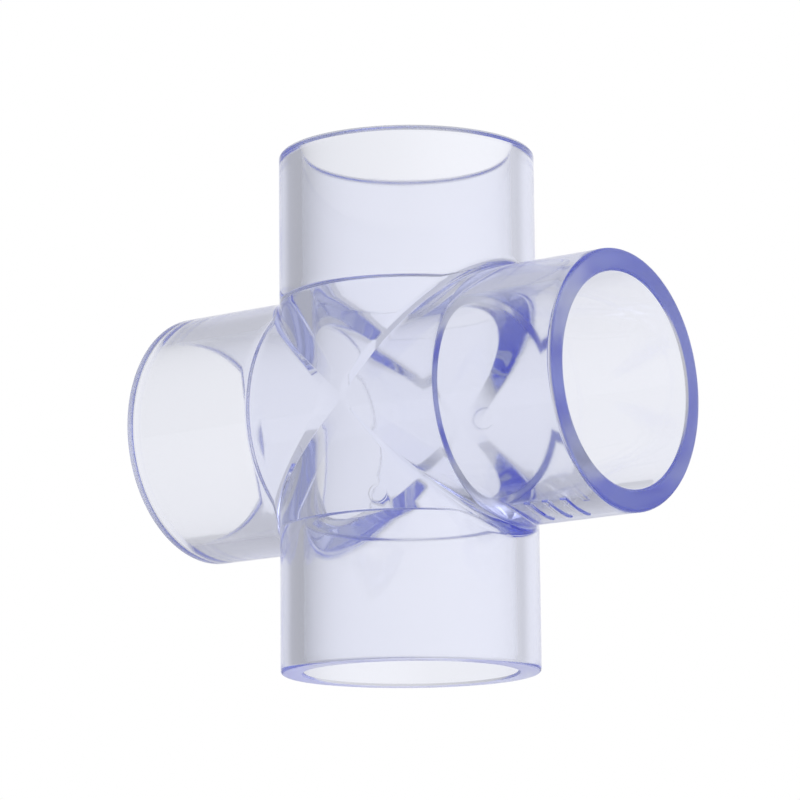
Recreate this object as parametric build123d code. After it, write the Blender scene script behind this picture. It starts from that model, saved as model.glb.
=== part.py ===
from build123d import *
import math
import os

# Four-way solvent-weld cross for nominal 32 mm pipe, one clear PVC-U moulding.
# Origin where the two waterways cross, +Z up through the top socket,
# +X through the right socket, Y normal to the plane of the four arms, -Y at the front.
# All sizes in millimetres.

# ---- tubes and sockets ----
UPRIGHT_D = 39.2          # outside diameter of the upright sockets and of the body
LEVEL_D = 39.0            # outside diameter of the level sockets, a touch slimmer
HALF_LENGTH = 40.0        # centre to the end face of each socket
SOCKET_D = 32.2           # bore a 32 mm pipe is welded into
SOCKET_DEPTH = 22.5       # end face to the pipe stop
WATERWAY_D = 29.4         # waterway at each pipe stop
WATERWAY_DRAFT = 0.035    # how much its radius narrows per unit length, inwards
RIM_ROUND = 0.6           # rounding on the outer edge of each end face
LEAD_IN = 0.35            # 45 degree lead-in on the inner edge of each mouth
CROTCH_R = 2.0            # radius in the corners between neighbouring arms

R_UPRIGHT = UPRIGHT_D / 2
R_LEVEL = LEVEL_D / 2
R_SOCKET = SOCKET_D / 2
R_WATER = WATERWAY_D / 2
STOP = HALF_LENGTH - SOCKET_DEPTH   # centre to each pipe stop

# ---- witness marks ----
EJECTOR_D = 2.9           # ejector pin witness on the front of the lower arm
EJECTOR_X = 7.8
EJECTOR_Z = -15.6
GATE_D = 4.2              # round witness at the back, beside the body's centre
GATE_X = 2.6
GATE_Z = 1.0
WITNESS_DEPTH = 0.08      # how far both marks sit below the skin, following it
PIN_START = 1.0           # where the cutting pins start, below the upright's skin
PIN_LENGTH = 2.0

# ---- plain raised bars under the +X arm, left blank ----
BAR_COUNT = 3
BAR_WIDTH = 1.1           # along X
BAR_PITCH = 3.2           # centre to centre along X
BAR_MID_X = 30.6          # centre of the middle bar
BAR_Y0 = -8.0             # bars run round the skin between these two Y values
BAR_Y1 = -1.6
BAR_HEIGHT = 0.3          # how far the bars stand off the skin
BAR_ROOT = 1.0            # how far they reach into the wall
WINDOW_HEIGHT = 8.0       # height of the box that trims each bar, centred on the skin

# ---- modelling allowances ----
OVERRUN = 1.0             # how much longer a cutting tool is than its cut
SKIN_TOL = 2e-3           # how near a seam edge must lie to both skins
END_TOL = 1e-3            # how near a rim must lie to its end face

LEVEL_TURN = (0, 90, 0)   # turns +Z to +X
SOCKET_TURNS = [(0, 0, 0), (180, 0, 0), LEVEL_TURN, (0, -90, 0)]  # +Z, -Z, +X, -X


def crossed_tubes(inset=0.0):
    """Two solid cylinders crossing, one along Z and one along X."""
    upright = Cylinder(R_UPRIGHT - inset, 2 * HALF_LENGTH)
    level = Cylinder(R_LEVEL - inset, 2 * HALF_LENGTH, rotation=LEVEL_TURN)
    return upright + level


def is_seam(edge):
    """True for an edge that lies on both tubes' skins all along."""
    for share in (0.13, 0.37, 0.62, 0.88):
        p = edge.position_at(share)
        if abs(math.hypot(p.X, p.Y) - R_UPRIGHT) > SKIN_TOL:
            return False
        if abs(math.hypot(p.Y, p.Z) - R_LEVEL) > SKIN_TOL:
            return False
    return True


def is_rim(edge):
    """True for the circle round an end face."""
    if edge.geom_type != GeomType.CIRCLE:
        return False
    centre = edge.center()
    return max(abs(centre.X), abs(centre.Z)) > HALF_LENGTH - END_TOL


def make_skin():
    """The solid outside shape, corners and rims rounded."""
    skin = crossed_tubes()
    skin = fillet([edge for edge in skin.edges() if is_seam(edge)], CROTCH_R)
    return fillet([edge for edge in skin.edges() if is_rim(edge)], RIM_ROUND)


def make_bar():
    """One raised bar: a ring round the X axis, trimmed to its underside."""
    ring = Cylinder(R_LEVEL + BAR_HEIGHT, BAR_WIDTH, rotation=LEVEL_TURN)
    ring -= Cylinder(R_LEVEL - BAR_ROOT, BAR_WIDTH + OVERRUN, rotation=LEVEL_TURN)
    window = Box(BAR_WIDTH + OVERRUN, BAR_Y1 - BAR_Y0, WINDOW_HEIGHT)
    return ring & Pos(0, (BAR_Y0 + BAR_Y1) / 2, -R_LEVEL) * window


def make_waterway():
    """Core along Z, narrowest at the centre and running past both pipe stops."""
    r_middle = R_WATER - WATERWAY_DRAFT * STOP
    r_end = R_WATER + WATERWAY_DRAFT * OVERRUN
    z_end = STOP + OVERRUN
    with BuildPart() as core:
        with BuildSketch(Plane.XZ):
            with BuildLine():
                Polyline(
                    (0, -z_end),
                    (r_end, -z_end),
                    (r_middle, 0),
                    (r_end, z_end),
                    (0, z_end),
                    close=True,
                )
            make_face()
        revolve(axis=Axis.Z)
    return core.part


def make_socket():
    """The hollow of the top socket with its lead-in."""
    hang = (Align.CENTER, Align.CENTER, Align.MAX)
    pocket = Cylinder(R_SOCKET, SOCKET_DEPTH, align=hang)
    lead_in = Cone(R_SOCKET, R_SOCKET + LEAD_IN, LEAD_IN, align=hang)
    mouth = Pos(0, 0, HALF_LENGTH)
    return mouth * pocket + mouth * lead_in


def witness_pin(diameter, x, z, side):
    """Pin pointing out through the skin, at the front (side -1) or back (side 1)."""
    return Pos(x, side * (R_UPRIGHT - PIN_START), z) * Cylinder(
        diameter / 2,
        PIN_LENGTH,
        rotation=(-90 * side, 0, 0),
        align=(Align.CENTER, Align.CENTER, Align.MIN),
    )


def make_cross_body():
    body = make_skin()

    bar = make_bar()
    for index in range(BAR_COUNT):
        bar_x = BAR_MID_X + (index - (BAR_COUNT - 1) / 2) * BAR_PITCH
        body += Pos(bar_x, 0, 0) * bar

    waterway = make_waterway()
    body -= waterway
    body -= Rotation(*LEVEL_TURN) * waterway
    socket = make_socket()
    for turn in SOCKET_TURNS:
        body -= Rotation(*turn) * socket

    # Taking the inset tubes off each pin leaves a mark whose floor follows the skin.
    sunk = crossed_tubes(WITNESS_DEPTH)
    # The ejector pin is swung round Z so that it meets the skin squarely.
    ejector_angle = math.degrees(math.asin(EJECTOR_X / R_UPRIGHT))
    ejector = witness_pin(EJECTOR_D, 0, EJECTOR_Z, side=-1)
    body -= Rotation(0, 0, ejector_angle) * ejector - sunk
    body -= witness_pin(GATE_D, GATE_X, GATE_Z, side=1) - sunk

    return body.solids().sort_by(lambda solid: solid.volume)[-1]


os.makedirs("parts", exist_ok=True)
export_step(make_cross_body(), "parts/cross_body.step")
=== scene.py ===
"""A clear violet PVC cross fitting with four equal socketed arms.

The fitting lies in the XZ plane, centred on the origin: +Z up the top arm, +X along the
right arm, -Y to the front. Its shape is worked out in millimetres and scaled to metres
when the mesh is made. Materials, floor, lights and camera are in metres.
"""

import math

import bmesh
import bpy
import numpy as np
from mathutils import Matrix, Vector
from mathutils.geometry import delaunay_2d_cdt


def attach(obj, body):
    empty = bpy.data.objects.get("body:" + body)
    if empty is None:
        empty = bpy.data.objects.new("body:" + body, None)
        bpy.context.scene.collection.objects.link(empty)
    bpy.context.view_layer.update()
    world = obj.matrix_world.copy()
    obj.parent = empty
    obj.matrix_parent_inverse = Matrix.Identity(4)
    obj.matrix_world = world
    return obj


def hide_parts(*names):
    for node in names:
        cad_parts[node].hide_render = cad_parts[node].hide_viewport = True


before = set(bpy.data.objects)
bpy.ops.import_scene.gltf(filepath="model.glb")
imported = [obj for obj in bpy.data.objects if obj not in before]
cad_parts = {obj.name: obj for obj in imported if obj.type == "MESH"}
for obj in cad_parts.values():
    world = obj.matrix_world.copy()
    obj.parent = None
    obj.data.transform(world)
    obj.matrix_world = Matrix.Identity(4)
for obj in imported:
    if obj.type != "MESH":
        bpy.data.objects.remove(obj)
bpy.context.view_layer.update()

# ---------------------------------------------------------------------------
# Sizes, in millimetres
# ---------------------------------------------------------------------------
MM = 0.001
WELD_GRID = 1e6           # welding steps in a millimetre

UPRIGHT_R = 19.6          # the upright tube's skin
LEVEL_R = 19.5            # the level arms' skin, a touch slimmer
HALF = 40.0               # from the centre to the end of each arm
SOCKET_R = 16.1
STOP_Z = 17.5             # pipe stop, from the centre
WATER_R = 14.7            # waterway radius at the pipe stop
DRAFT = 0.035             # the waterways' narrowing towards the centre, per unit of length
RIM_ROUND = 0.6
LEAD_IN = 0.35            # chamfer at the socket's mouth
CROTCH_R = 2.0            # fillet between the upright and the level arms
STOP_CORNER = 0.3         # rounding between the socket wall and the pipe stop
EDGE = 0.12               # softness of the small moulded edges
CROSS_EDGE = 0.22         # rounding where the two waterways cross

# Rows of the mesh: radii on flat faces, distances from the centre along the tubes.
FACE_OUTER_ROW = 18.4
FACE_INNER_ROWS = (17.8, 17.1)
SOCKET_ROWS = (38.2, 36.0, 33.0, 30.0, 27.0, 24.0, 21.0, 19.2)
STOP_ROW = 15.3
FAN_Z = 24.0              # above this every column has the same rows
N_FILLET, N_FAN = 10, 10  # steps over the crotch fillet, and from it to FAN_Z
N_EDGE, N_WATER = 4, 8    # steps over the crossing's rounding, and along the waterway

# Raised bars under the right arm
BARS_X = (27.4, 30.6, 33.8)
BAR_W, BAR_H = 1.1, 0.3
BAR_FROM, BAR_TO = 65.5, 85.5      # degrees from the front round to the underside
BAR_EDGE = ((0.20, 0.03), (0.27, 0.06), (BAR_H, 0.13))   # (height, inset) up the sides

# Shallow round witness marks
EJECTOR = dict(x=7.8, z=-15.6, radius=1.45)    # on the front of the bottom arm
GATE_MARK = dict(x=2.6, z=1.0, radius=2.1)     # on the back
MARK_DEPTH = 0.08
MARK_MARGIN = 0.45        # width of skin laid again round a mark
MARK_REACH = 1.5          # how far below the skin's crest that skin may lie
MARK_SEGMENTS = 96
# (offset from the mark's radius, share of the depth), from the skin down to the floor
MARK_LIP = ((0.05, 0.0), (0.0, 0.10), (-0.07, 0.80), (-0.13, 1.0))
MARK_STEP, MARK_CORE = 0.3, 0.4    # spacing of the floor's rings, and where they stop

SHARP_ANGLE = math.radians(31)


# ---------------------------------------------------------------------------
# Profiles, as (radius, height) points of an upright arm
# ---------------------------------------------------------------------------
def spaced(start, end, steps):
    """steps + 1 values from start to end, evenly."""
    return start + (end - start) * np.linspace(0, 1, steps + 1)


def arc(centre_r, centre_z, radius, start, end, steps):
    """steps + 1 points of an arc in the (radius, height) plane, angles in degrees."""
    angles = np.radians(np.linspace(start, end, steps + 1))
    return [(centre_r + radius * math.cos(t), centre_z + radius * math.sin(t)) for t in angles]


def ring(angle, radius, z):
    """The point at an angle in degrees from the front (-Y) round to +X of an upright arm."""
    turned = math.radians(angle)
    sine = 0.0 if angle % 180 == 0 else math.sin(turned)
    return (radius * sine, -radius * math.cos(turned), z)


bar_rows = sorted({x + s * BAR_W / 2 for x in BARS_X for s in (-1, 1)} | set(BARS_X))
skin_rows = [25.3] + bar_rows + [35.6, 37.0, 38.3]
SKIN_ROW = N_FILLET + N_FAN + 1          # row of skin_rows[0] in a level column


def outer_profile(radius):
    """Up the skin, over the rim and onto the flat end."""
    rows = [(radius, z) for z in skin_rows]
    rows += arc(radius - RIM_ROUND, HALF - RIM_ROUND, RIM_ROUND, 0, 90, 8)
    return rows + [(FACE_OUTER_ROW, HALF)]


def inner_profile():
    """From the flat end down the socket, over the stop and into the waterway."""
    tangent = EDGE * math.tan(math.radians(22.5))
    rows = [(radius, HALF) for radius in FACE_INNER_ROWS]
    rows += arc(SOCKET_R + LEAD_IN + tangent, HALF - EDGE, EDGE, 90, 135, 3)
    rows += arc(SOCKET_R + EDGE, HALF - LEAD_IN - tangent, EDGE, 135, 180, 3)
    rows += [(SOCKET_R, z) for z in SOCKET_ROWS]
    rows += arc(SOCKET_R - STOP_CORNER, STOP_Z + STOP_CORNER, STOP_CORNER, 0, -90, 5)
    rows += [(STOP_ROW, STOP_Z)]
    return rows + arc(WATER_R + EDGE, STOP_Z - EDGE, EDGE, 90, 180, 4)


# ---------------------------------------------------------------------------
# Columns: lines of points along an arm, laid side by side round it.
#
# The seam is a ball of the crotch's radius rolled round between upright and arm. A place
# on it is known by its angle on the upright. Between -TIP and TIP there is no seam: the
# upright's skin runs straight through.
# ---------------------------------------------------------------------------
BALL_UPRIGHT, BALL_LEVEL = UPRIGHT_R + CROTCH_R, LEVEL_R + CROTCH_R
TIP = math.degrees(math.acos(BALL_LEVEL / BALL_UPRIGHT))
quarter = [TIP, TIP + 0.15] + list(range(math.ceil(TIP + 0.3), 90))
seam = quarter + [90] + [180 - angle for angle in quarter[::-1]]
front = [angle for angle in range(-10, 11) if abs(angle) < TIP - 0.1]


def arm_angle(seam_angle):
    """Where the ball touches the level arm, as an angle round that arm."""
    if seam_angle == seam[0]:
        return 0.0
    if seam_angle == seam[-1]:
        return 180.0
    cosine = BALL_UPRIGHT * math.cos(math.radians(seam_angle)) / BALL_LEVEL
    return math.degrees(math.acos(cosine))


def upright_column(angle):
    """The upright's skin from the seam, or from mid-height between the tips, to the end."""
    side = angle if angle <= 180 else 360 - angle
    start = 0.0
    if seam[0] < side < seam[-1]:
        start = BALL_LEVEL * math.sin(math.radians(arm_angle(side)))
    column = [ring(angle, UPRIGHT_R, z) for z in spaced(start, FAN_Z, N_FAN)]
    return column + [ring(angle, r, z) for r, z in outer_profile(UPRIGHT_R)]


def level_column(seam_angle, angle):
    """A level arm's fillet and skin, at an angle round the arm, drawn as if upright."""
    seam_turn = math.radians(seam_angle)
    ball = np.array(ring(angle, BALL_LEVEL, BALL_UPRIGHT * math.sin(seam_turn)))
    to_upright = np.array((0.0, math.cos(seam_turn), -math.sin(seam_turn)))
    to_arm = -np.array(ring(angle, 1.0, 0.0))
    gap = math.acos(max(-1.0, min(1.0, float(to_upright @ to_arm))))
    column = []
    for t in np.linspace(0, 1, N_FILLET + 1):
        toward = to_upright
        if gap > 1e-9:
            toward = (
                math.sin((1 - t) * gap) * to_upright + math.sin(t * gap) * to_arm
            ) / math.sin(gap)
        column.append(tuple(ball + CROTCH_R * toward))
    # The two ends are set exactly on the skins, so that they weld.
    column[0] = (ball[0], -UPRIGHT_R * math.cos(seam_turn), UPRIGHT_R * math.sin(seam_turn))
    column[-1] = ring(angle, LEVEL_R, ball[2])
    column += [ring(angle, LEVEL_R, z) for z in spaced(ball[2], FAN_Z, N_FAN)[1:]]
    return column + [ring(angle, r, z) for r, z in outer_profile(LEVEL_R)]


def inner_column(angle):
    """One column of the bore, from the flat end in to the crossing of the waterways."""
    sine = 0.0 if angle % 180 == 0 else math.sin(math.radians(angle))
    sign = 1.0 if sine >= 0 else -1.0
    column = [ring(angle, r, z) for r, z in inner_profile()]
    top = STOP_Z - EDGE
    centre_r = WATER_R - DRAFT * top

    def bore(z):
        return centre_r + DRAFT * z

    crossing = centre_r * abs(sine) / (1 - DRAFT * abs(sine))
    end_z = crossing * (1 + CROSS_EDGE / WATER_R)
    for z in spaced(top, end_z, N_WATER)[1:]:
        column.append(ring(angle, bore(z), z))
    # The edge between two waterways is a quadratic curve, and each arm has half of it.
    end_x, end_y = bore(end_z) * abs(sine), column[-1][1]
    corner = (end_x - DRAFT * abs(sine) * end_z) / (1 - DRAFT * abs(sine))
    for t in np.linspace(0, 0.5, N_EDGE + 1)[1:]:
        near, mid, far = (1 - t) ** 2, 2 * t * (1 - t), t * t
        x = near * end_x + mid * corner + far * end_z
        z = near * end_z + mid * corner + far * end_x
        column.append((sign * x, end_y, z))
    return column


# Each entry is (angle round the arm, column).
upright = [(angle % 360, upright_column(angle % 360)) for angle in
           front + seam + [180 + v for v in front] + [360 - v for v in seam[::-1]]]
level = [(arm_angle(v), level_column(v, arm_angle(v))) for v in seam]
level += [(360 - arm_angle(v), level_column(v, 360 - arm_angle(v))) for v in seam[-2:0:-1]]
inner = [(float(angle), inner_column(angle)) for angle in range(360)]
for columns in (upright, level):
    columns.sort(key=lambda entry: entry[0])

# The four arms are the upright one turned about Y.
TURN = {
    "top": lambda p: p,
    "right": lambda p: np.stack([p[..., 2], p[..., 1], -p[..., 0]], -1),
    "bottom": lambda p: np.stack([-p[..., 0], p[..., 1], -p[..., 2]], -1),
    "left": lambda p: np.stack([-p[..., 2], p[..., 1], p[..., 0]], -1),
}


class Shell:
    """A mesh whose vertices weld by position."""

    def __init__(self):
        self.index, self.points, self.faces = {}, [], []

    def vertex(self, point):
        key = tuple(round(value * WELD_GRID) for value in point)
        found = self.index.get(key)
        if found is None:
            found = self.index[key] = len(self.points)
            self.points.append(tuple(float(value) for value in point))
        return found

    def face(self, ids):
        """Adds a face without its repeated corners, unless it has shrunk to a line."""
        corners = []
        for i in ids:
            if not corners or corners[-1] != i:
                corners.append(i)
        while len(corners) > 1 and corners[0] == corners[-1]:
            corners.pop()
        if len(corners) >= 3:
            self.faces.append(tuple(corners))

    def boundary(self, removed):
        """The one closed loop of vertices round a patch of removed faces."""
        edges = set()
        for face in removed:
            for a, b in zip(face, face[1:] + face[:1]):
                edges.add((a, b))
        following = {}
        for a, b in edges:
            if (b, a) not in edges:
                following[a] = b
        start = next(iter(following))
        loop, at = [start], following[start]
        while at != start:
            loop.append(at)
            at = following[at]
        assert len(loop) == len(following), "the patch has more than one edge loop"
        return loop

    def sheet(self, columns, turn, skip=lambda j, i: False):
        """Lays a closed sheet of columns, and gives back its vertex numbers."""
        placed = turn(np.array([column for _, column in columns]))
        ids = np.array([[self.vertex(point) for point in column] for column in placed])
        count, rows = ids.shape
        for j in range(count):
            k = (j + 1) % count
            for i in range(rows - 1):
                if not skip(j, i):
                    self.face((ids[j, i], ids[k, i], ids[k, i + 1], ids[j, i + 1]))
        return ids

    def band(self, low, high):
        """Joins two loops that have the same number of points."""
        for i in range(len(low)):
            k = (i + 1) % len(low)
            self.face((low[i], low[k], high[k], high[i]))

    def zip_rings(self, a, a_angles, b, b_angles):
        """Joins two rings on a flat face that have different numbers of points."""
        i = j = 0
        while i < len(a) or j < len(b):
            next_a = a_angles[i + 1] if i + 1 < len(a) else a_angles[0] + 360
            next_b = b_angles[j + 1] if j + 1 < len(b) else b_angles[0] + 360
            if j >= len(b) or (i < len(a) and next_a <= next_b):
                self.face((a[i % len(a)], a[(i + 1) % len(a)], b[j % len(b)]))
                i += 1
            else:
                self.face((a[i % len(a)], b[(j + 1) % len(b)], b[j % len(b)]))
                j += 1


# ---------------------------------------------------------------------------
# The four arms
# ---------------------------------------------------------------------------
bar_cols = [j for j, (angle, _) in enumerate(level) if BAR_FROM <= angle <= BAR_TO]


def under_bar(j, i):
    """True where a raised bar stands on the right arm's skin."""
    row = i - SKIN_ROW
    if not (bar_cols[0] <= j < bar_cols[-1] and 0 <= row < len(skin_rows) - 1):
        return False
    middle = (skin_rows[row] + skin_rows[row + 1]) / 2
    return any(abs(middle - x) < BAR_W / 2 for x in BARS_X)


def lay_arms(shell):
    """Lays all four arms, and gives back the vertex numbers of the right arm's skin."""
    for arm, turn in TURN.items():
        columns = upright if arm in ("top", "bottom") else level
        if arm == "right":
            outer_ids = right_ids = shell.sheet(columns, turn, under_bar)
        else:
            outer_ids = shell.sheet(columns, turn)
        inner_ids = shell.sheet(inner, turn)
        shell.zip_rings(
            list(outer_ids[:, -1]), [angle for angle, _ in columns],
            list(inner_ids[:, 0]), [angle for angle, _ in inner],
        )
    return right_ids


# ---------------------------------------------------------------------------
# Three blank raised bars under the right arm
# ---------------------------------------------------------------------------
def raise_bar(shell, skin_ids, bar_x):
    """Lifts the patch of skin that the bar stands on, with a soft upper edge."""
    first, last = level[bar_cols[0]][0], level[bar_cols[-1]][0]
    mid_angle, half_angle = (first + last) / 2, (last - first) / 2
    rows = [
        SKIN_ROW + row
        for row, x in enumerate(skin_rows)
        if bar_x - BAR_W / 2 - 1e-6 <= x <= bar_x + BAR_W / 2 + 1e-6
    ]

    def lifted(j, i, height, inset):
        x = shell.points[skin_ids[j, i]][0]
        x = bar_x + (x - bar_x) * (1 - inset / (BAR_W / 2))
        share = 1 - inset / (LEVEL_R * math.radians(half_angle))
        angle = math.radians(mid_angle + (level[j][0] - mid_angle) * share)
        radius = LEVEL_R + height
        return shell.vertex((x, -radius * math.cos(angle), -radius * math.sin(angle)))

    outline = (
        [(j, rows[0]) for j in bar_cols]
        + [(bar_cols[-1], i) for i in rows[1:]]
        + [(j, rows[-1]) for j in bar_cols[-2::-1]]
        + [(bar_cols[0], i) for i in rows[-2:0:-1]]
    )
    loops = [[skin_ids[j, i] for j, i in outline]]
    for height, inset in BAR_EDGE:
        loops.append([lifted(j, i, height, inset) for j, i in outline])
    for low, high in zip(loops, loops[1:]):
        shell.band(low, high)
    top = {(j, i): lifted(j, i, *BAR_EDGE[-1]) for j in bar_cols for i in rows}
    for j, next_j in zip(bar_cols, bar_cols[1:]):
        for i, next_i in zip(rows, rows[1:]):
            shell.face((top[j, i], top[next_j, i], top[next_j, next_i], top[j, next_i]))


# ---------------------------------------------------------------------------
# Shallow round witness marks
# ---------------------------------------------------------------------------
def inside(point, outline):
    """True where a 2D point lies inside a closed outline."""
    hit = False
    for a, b in zip(outline, outline[1:] + outline[:1]):
        if (a.y > point.y) != (b.y > point.y):
            if point.x < a.x + (point.y - a.y) / (b.y - a.y) * (b.x - a.x):
                hit = not hit
    return hit


def sink_mark(shell, centre, across, along, radius, skin, on_skin):
    """Sinks a round mark into the skin. across and along are unit vectors of the mark's own
    plane. skin(side, rise, sunk) gives the point at (side, rise) in that plane on the skin
    sunk by a depth, and on_skin(points) tells which points may belong to the patch."""
    centre, across, along = (np.array(v, float) for v in (centre, across, along))
    points = np.array(shell.points)
    side, rise = (points - centre) @ across, (points - centre) @ along
    near = (np.hypot(side, rise) < radius + MARK_MARGIN) & on_skin(points)
    taken = [face for face in shell.faces if any(near[i] for i in face)]
    gone = set(taken)
    shell.faces = [face for face in shell.faces if face not in gone]
    patch = shell.boundary(taken)

    def circle(ring_radius, depth_share):
        ids = []
        for i in range(MARK_SEGMENTS):
            angle = 2 * math.pi * i / MARK_SEGMENTS
            spot = ring_radius * math.cos(angle), ring_radius * math.sin(angle)
            ids.append(shell.vertex(
                skin(*spot, 0.0) * (1 - depth_share) + skin(*spot, MARK_DEPTH) * depth_share
            ))
        return ids

    rings = [circle(radius + offset, share) for offset, share in MARK_LIP]

    # The skin between the patch's edge and the mark's outermost ring is triangulated.
    flat = [Vector((side[i], rise[i])) for i in patch]
    for i in rings[0]:
        offset = np.array(shell.points[i]) - centre
        flat.append(Vector((offset @ across, offset @ along)))
    count = len(patch)
    edges = [(i, (i + 1) % count) for i in range(count)]
    edges += [(count + i, count + (i + 1) % MARK_SEGMENTS) for i in range(MARK_SEGMENTS)]
    corners, _, triangles, origins, _, _ = delaunay_2d_cdt(flat, edges, [], 0, 1e-9)
    source = patch + rings[0]
    for triangle in triangles:
        ids = [source[origins[v][0]] for v in triangle]
        middle = sum((corners[v] for v in triangle), Vector((0, 0))) / 3
        if middle.length < radius + 0.04 or all(v in rings[0] for v in ids):
            continue        # within the mark itself
        if inside(middle, flat[:count]):
            shell.face(ids)

    for low, high in zip(rings, rings[1:]):
        shell.band(low, high)
    last, floor_radius = rings[-1], radius + MARK_LIP[-1][0]
    while floor_radius > MARK_CORE:
        floor_radius -= MARK_STEP
        smaller = circle(floor_radius, 1.0)
        shell.band(last, smaller)
        last = smaller
    shell.face(tuple(last))


def sink_ejector_mark(shell):
    lean = math.asin(EJECTOR["x"] / UPRIGHT_R)
    out_dir = np.array((math.sin(lean), -math.cos(lean), 0.0))
    side_dir = np.array((math.cos(lean), math.sin(lean), 0.0))
    up_dir = np.array((0.0, 0.0, 1.0))

    def skin(side, rise, sunk):
        radius = UPRIGHT_R - sunk
        out = math.sqrt(radius * radius - side * side)
        return out_dir * out + side_dir * side + up_dir * (EJECTOR["z"] + rise)

    sink_mark(
        shell, out_dir * UPRIGHT_R + up_dir * EJECTOR["z"], side_dir, up_dir,
        EJECTOR["radius"], skin,
        lambda p: (p @ out_dir > UPRIGHT_R - MARK_REACH) & (p[:, 2] < 0),
    )


def sink_gate_mark(shell):
    def skin(side, rise, sunk):
        """The back's skin near the mark, sunk along each tube's own radius."""
        x, z = side + GATE_MARK["x"], rise + GATE_MARK["z"]
        on_upright = math.sqrt((UPRIGHT_R - sunk)**2 - x * x)
        on_level = math.sqrt((LEVEL_R - sunk)**2 - z * z)
        return np.array((x, max(on_upright, on_level), z))

    sink_mark(
        shell, (GATE_MARK["x"], UPRIGHT_R, GATE_MARK["z"]), (1, 0, 0), (0, 0, 1),
        GATE_MARK["radius"], skin,
        lambda p: p[:, 1] > UPRIGHT_R - MARK_REACH,
    )


# ---------------------------------------------------------------------------
# The fitting's mesh and object
# ---------------------------------------------------------------------------
def make_mesh(shell):
    """The shell as a closed mesh in metres, facing outwards, smooth between sharp edges."""
    used = sorted({i for face in shell.faces for i in face})
    renumber = {old: new for new, old in enumerate(used)}
    points = np.array([shell.points[i] for i in used]) * MM
    faces = [tuple(renumber[i] for i in face) for face in shell.faces]
    mesh = bpy.data.meshes.new("clear_cross")
    mesh.from_pydata(points.tolist(), [], faces)
    mesh.update()

    bm = bmesh.new()
    bm.from_mesh(mesh)
    bmesh.ops.recalc_face_normals(bm, faces=bm.faces)
    if bm.calc_volume(signed=True) < 0:
        bmesh.ops.reverse_faces(bm, faces=bm.faces)
    closed = all(len(edge.link_faces) == 2 for edge in bm.edges)
    assert closed, "the fitting's skin isn't closed"
    bm.to_mesh(mesh)
    bm.free()
    mesh.polygons.foreach_set("use_smooth", [True] * len(mesh.polygons))
    mesh.set_sharp_from_angle(angle=SHARP_ANGLE)
    mesh.update()
    return mesh


fitting = Shell()
right_skin = lay_arms(fitting)
for bar_x in BARS_X:
    raise_bar(fitting, right_skin, bar_x)
sink_ejector_mark(fitting)
sink_gate_mark(fitting)

cross = bpy.data.objects.new("clear_cross", make_mesh(fitting))
bpy.context.scene.collection.objects.link(cross)
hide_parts("cross_body")
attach(cross, "root")


class Graph:
    """The node tree of a material or a world, emptied and ready to fill."""

    def __init__(self, owner):
        owner.use_nodes = True
        self.tree = owner.node_tree
        self.tree.nodes.clear()

    def node(self, kind, at, inputs=None, **settings):
        """Adds a node. inputs maps its sockets to values, or to outputs to link."""
        made = self.tree.nodes.new(kind)
        made.location = at
        for key, value in settings.items():
            setattr(made, key, value)
        for key, value in (inputs or {}).items():
            if isinstance(value, bpy.types.NodeSocket):
                self.tree.links.new(value, made.inputs[key])
            else:
                made.inputs[key].default_value = value
        return made

    def maths(self, operation, *values, at):
        inputs = dict(enumerate(values))
        return self.node("ShaderNodeMath", at, inputs, operation=operation).outputs[0]

    def ramp(self, value, start, end, low=0.0, high=1.0, *, at):
        """A smooth step from low to high as the value goes from start to end."""
        inputs = {"Value": value, "From Min": start, "From Max": end,
                  "To Min": low, "To Max": high}
        made = self.node("ShaderNodeMapRange", at, inputs, interpolation_type="SMOOTHSTEP")
        return made.outputs["Result"]

    def mix(self, share, first, second, at):
        inputs = {"Fac": share, 1: first, 2: second}
        return self.node("ShaderNodeMixShader", at, inputs).outputs["Shader"]


# ---------------------------------------------------------------------------
# Material: clear PVC-U with a faint violet-blue tint held in the bulk, so thick
# sections seen end-on go deep violet and thin walls stay nearly clear.
# ---------------------------------------------------------------------------
ABSORB = (14.0, 12.0, 0.2)   # bulk absorption per metre in red, green and blue
ABSORB_SHARE = 0.6           # share of the volume's density that the strongest one takes
CLARITY = 1.0                # share of the light that goes through the skin
HAZE_TINT = (0.95, 0.955, 0.98)
REFRACTION = 1.53
POLISH = (0.035, 0.085)      # roughness of the polished walls, clean and handled
HAZE_RANGE = (0.35, 0.70)    # noise values between clean and handled
SATIN = 0.36                 # roughness of the socket ends and the pipe stops
WAVE_HEIGHT, PEEL_HEIGHT = 0.000022, 0.0000012    # metres
# The satin's reach, in millimetres
END_SATIN = (HALF - 0.45, HALF - 0.08)    # fades in between these along an arm
STOP_SATIN = 0.12                         # either side of the pipe stop
STOP_SATIN_R = SOCKET_R + 0.02


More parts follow.
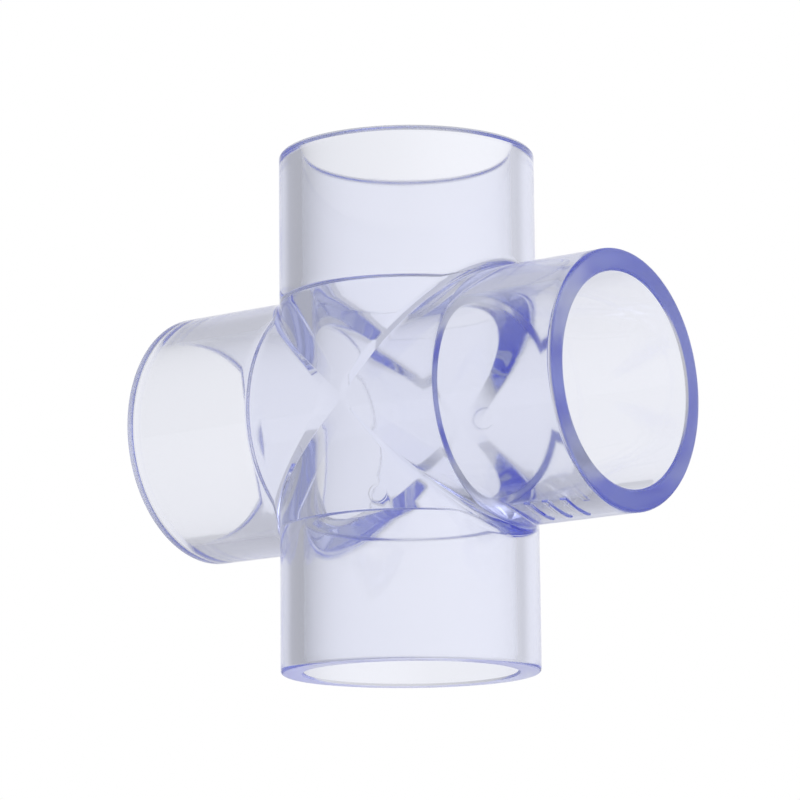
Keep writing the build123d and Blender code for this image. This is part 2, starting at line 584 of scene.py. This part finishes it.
def satin_mask(graph, place):
    """Where the satin is: the flat end of each socket, and the pipe-stop shoulders."""
    maths = graph.maths
    split = graph.node("ShaderNodeSeparateXYZ", (-1300, -700), {0: place})
    abs_x = maths("ABSOLUTE", split.outputs["X"], at=(-1100, -650))
    abs_z = maths("ABSOLUTE", split.outputs["Z"], at=(-1100, -800))
    reach = maths("MAXIMUM", abs_x, abs_z, at=(-900, -700))
    end_face = graph.ramp(reach, *(edge * MM for edge in END_SATIN), at=(-700, -650))
    lesser = maths("MINIMUM", abs_x, abs_z, at=(-900, -850))
    lesser_squared = maths("MULTIPLY", lesser, lesser, at=(-900, -1000))
    y = split.outputs["Y"]
    y_squared = maths("MULTIPLY", y, y, at=(-900, -1150))
    radius_squared = maths("ADD", lesser_squared, y_squared, at=(-700, -1050))
    radius = maths("SQRT", radius_squared, at=(-550, -1050))
    at_stop = maths("COMPARE", reach, STOP_Z * MM, STOP_SATIN * MM, at=(-700, -850))
    in_socket = maths("LESS_THAN", radius, STOP_SATIN_R * MM, at=(-400, -1050))
    on_stop = maths("MULTIPLY", at_stop, in_socket, at=(-250, -900))
    return maths("MAXIMUM", end_face, on_stop, at=(-150, -700))


def clear_pvc():
    pvc = bpy.data.materials.new("clear_violet_pvc")
    graph = Graph(pvc)
    place = graph.node("ShaderNodeTexCoord", (-1600, 0)).outputs["Object"]

    def noise(at, **inputs):
        return graph.node("ShaderNodeTexNoise", at, {"Vector": place, **inputs}).outputs["Fac"]

    def bump(at, **inputs):
        return graph.node("ShaderNodeBump", at, {"Strength": 1.0, **inputs}).outputs["Normal"]

    # Slow waviness of the moulded skin, fine orange peel, and handling haze.
    waves = noise((-1300, 200), Scale=75.0, Detail=1.0)
    peel = noise((-1300, -100), Scale=620.0, Detail=2.0)
    haze = noise((-1300, -400), Scale=140.0, Detail=5.0, Roughness=0.65)
    wavy = bump((-500, 200), Distance=WAVE_HEIGHT, Height=waves)
    normal = bump((-300, 0), Distance=PEEL_HEIGHT, Height=peel, Normal=wavy)

    satin = satin_mask(graph, place)
    polished = graph.ramp(haze, *HAZE_RANGE, *POLISH, at=(-500, -400))
    rough = graph.node("ShaderNodeMix", (-200, -400),
                       {"Factor": satin, "A": polished, "B": SATIN})
    plastic = graph.node("ShaderNodeBsdfPrincipled", (0, 0), {
        "Base Color": (*HAZE_TINT, 1),
        "Transmission Weight": CLARITY,
        "IOR": REFRACTION,
        "Roughness": rough.outputs["Result"],
        "Normal": normal,
    })
    density = max(ABSORB) / ABSORB_SHARE
    bulk = graph.node("ShaderNodeVolumeAbsorption", (0, -500), {
        "Color": (*[1 - amount / density for amount in ABSORB], 1),
        "Density": density,
    })
    graph.node("ShaderNodeOutputMaterial", (400, 0),
               {"Surface": plastic.outputs["BSDF"], "Volume": bulk.outputs["Volume"]})
    return pvc


cross.data.materials.append(clear_pvc())

# ---------------------------------------------------------------------------
# Floor: pale, plain. It is one-sided, so that it doesn't hide the fitting from a
# camera below it, and it doesn't shade the rim that stands on it.
# ---------------------------------------------------------------------------
WHITE = (1, 1, 1, 1)
PAPER = (0.86, 0.86, 0.87, 1)
FLOOR_HALF = 3.0             # half the floor's width, metres
FLOOR_GAP = 0.0001           # below the fitting's lowest rim
TOUCHING = 0.002             # bounced rays shorter than this go through the floor
FLOOR_FADE = (0.10, 0.75)    # distances over which the floor turns to backdrop white


def pale_paper():
    paper = bpy.data.materials.new("pale_paper")
    graph = Graph(paper)
    maths = graph.maths
    white = graph.node("ShaderNodeBsdfDiffuse", (0, 100), {"Color": PAPER})
    clear = graph.node("ShaderNodeBsdfTransparent", (0, -100))
    surface = graph.node("ShaderNodeNewGeometry", (-400, 300))
    path = graph.node("ShaderNodeLightPath", (-800, 300))
    seen = path.outputs["Is Camera Ray"]
    near = maths("LESS_THAN", path.outputs["Ray Length"], TOUCHING, at=(-600, 200))
    bounced = maths("SUBTRACT", 1.0, seen, at=(-600, 350))
    touching = maths("MULTIPLY", near, bounced, at=(-400, 150))
    see_through = maths("MAXIMUM", surface.outputs["Backfacing"], touching, at=(-200, 250))
    # Far from the fitting the floor runs into the white backdrop, with no horizon.
    distance = graph.node("ShaderNodeVectorMath", (-600, 600),
                          {0: surface.outputs["Position"]}, operation="LENGTH")
    fade = graph.ramp(distance.outputs["Value"], *FLOOR_FADE, at=(-400, 600))
    far = maths("MULTIPLY", fade, seen, at=(-200, 600))
    glow = graph.node("ShaderNodeEmission", (0, 400), {"Color": WHITE, "Strength": 1.0})
    sheet = graph.mix(far, white.outputs["BSDF"], glow.outputs["Emission"], (100, 200))
    mixed = graph.mix(see_through, sheet, clear.outputs["BSDF"], (200, 0))
    graph.node("ShaderNodeOutputMaterial", (400, 0), {"Surface": mixed})
    return paper


floor_mesh = bpy.data.meshes.new("studio_floor")
floor_z = -HALF * MM - FLOOR_GAP
floor_corners = ((-1, -1), (1, -1), (1, 1), (-1, 1))
floor_mesh.from_pydata(
    [(x * FLOOR_HALF, y * FLOOR_HALF, floor_z) for x, y in floor_corners],
    [], [(0, 1, 2, 3)],
)
floor = bpy.data.objects.new("studio_floor", floor_mesh)
bpy.context.scene.collection.objects.link(floor)
floor_mesh.materials.append(pale_paper())

# ---------------------------------------------------------------------------
# Light: a plain soft studio, an even fill with four broad soft panels. The backdrop
# the camera sees directly is plain white.
# ---------------------------------------------------------------------------
FILL = 0.50
# azimuth from +X round to +Y and elevation of the middle, half-width, strength
PANELS = (
    (120, 0, 40, 0.43),
    (0, 45, 130, 0.35),
    (120, -45, 40, 1.66),
    (0, -45, 90, 0.735),
)


def light_studio():
    world = bpy.data.worlds.new("studio")
    bpy.context.scene.world = world
    graph = Graph(world)
    way = graph.node("ShaderNodeTexCoord", (-900, 0)).outputs["Generated"]
    total = FILL
    for i, (azimuth, elevation, half_width, strength) in enumerate(PANELS):
        az, el = math.radians(azimuth), math.radians(elevation)
        middle = (math.cos(el) * math.cos(az), math.cos(el) * math.sin(az), math.sin(el))
        facing = graph.node("ShaderNodeVectorMath", (-700, -160 * i),
                            {0: way, 1: middle}, operation="DOT_PRODUCT")
        panel = graph.ramp(facing.outputs["Value"], math.cos(math.radians(half_width)), 1.0,
                           0.0, strength, at=(-500, -160 * i))
        total = graph.maths("ADD", total, panel, at=(-300, -160 * i))
    sky = graph.node("ShaderNodeBackground", (0, 0), {"Color": WHITE, "Strength": total})
    backdrop = graph.node("ShaderNodeBackground", (0, -160), {"Color": WHITE, "Strength": 1.0})
    path = graph.node("ShaderNodeLightPath", (0, 320))
    picked = graph.mix(path.outputs["Is Camera Ray"], sky.outputs["Background"],
                       backdrop.outputs["Background"], (200, 0))
    graph.node("ShaderNodeOutputWorld", (400, 0), {"Surface": picked})


light_studio()

# ---------------------------------------------------------------------------
# Camera: long lens, right of the front and a little below the fitting.
# ---------------------------------------------------------------------------
AZIMUTH, ELEVATION, ROLL = math.radians(37.10), math.radians(-10.55), math.radians(-0.555)
DISTANCE = 0.58067        # metres from the fitting's centre
SENSOR, LENS = 36.0, 171.8145    # millimetres
# The fitting's centre as the camera sees it, per unit of depth: a little right and low.
CENTRE_RIGHT, CENTRE_DOWN = 0.002276001, 0.003119353


def place_camera():
    back = Vector((
        math.sin(AZIMUTH) * math.cos(ELEVATION),
        -math.cos(AZIMUTH) * math.cos(ELEVATION),
        math.sin(ELEVATION),
    ))
    right = Vector((math.cos(AZIMUTH), math.sin(AZIMUTH), 0))
    up = back.cross(right)
    cosine, sine = math.cos(ROLL), math.sin(ROLL)
    right, up = cosine * right + sine * up, -sine * right + cosine * up
    base = Matrix((right, up, back)).transposed()
    aim = Vector((CENTRE_RIGHT, -CENTRE_DOWN, -1.0))
    turn = aim.normalized().rotation_difference(Vector((0, 0, -1))).to_matrix()
    lens = bpy.data.cameras.new("camera")
    lens.sensor_width = SENSOR
    lens.lens = LENS
    lens.clip_start, lens.clip_end = 0.02, 50.0
    camera = bpy.data.objects.new("camera", lens)
    bpy.context.scene.collection.objects.link(camera)
    camera.matrix_world = Matrix.Translation(back * DISTANCE) @ (base @ turn).to_4x4()
    bpy.context.scene.camera = camera


place_camera()

scene = bpy.context.scene
scene.view_settings.view_transform = "Standard"
scene.view_settings.look = "None"
# Light crosses many clear walls before it leaves the fitting.
scene.cycles.max_bounces = 64
scene.cycles.transmission_bounces = 64
scene.cycles.glossy_bounces = 64
scene.cycles.diffuse_bounces = 3
scene.cycles.transparent_max_bounces = 16
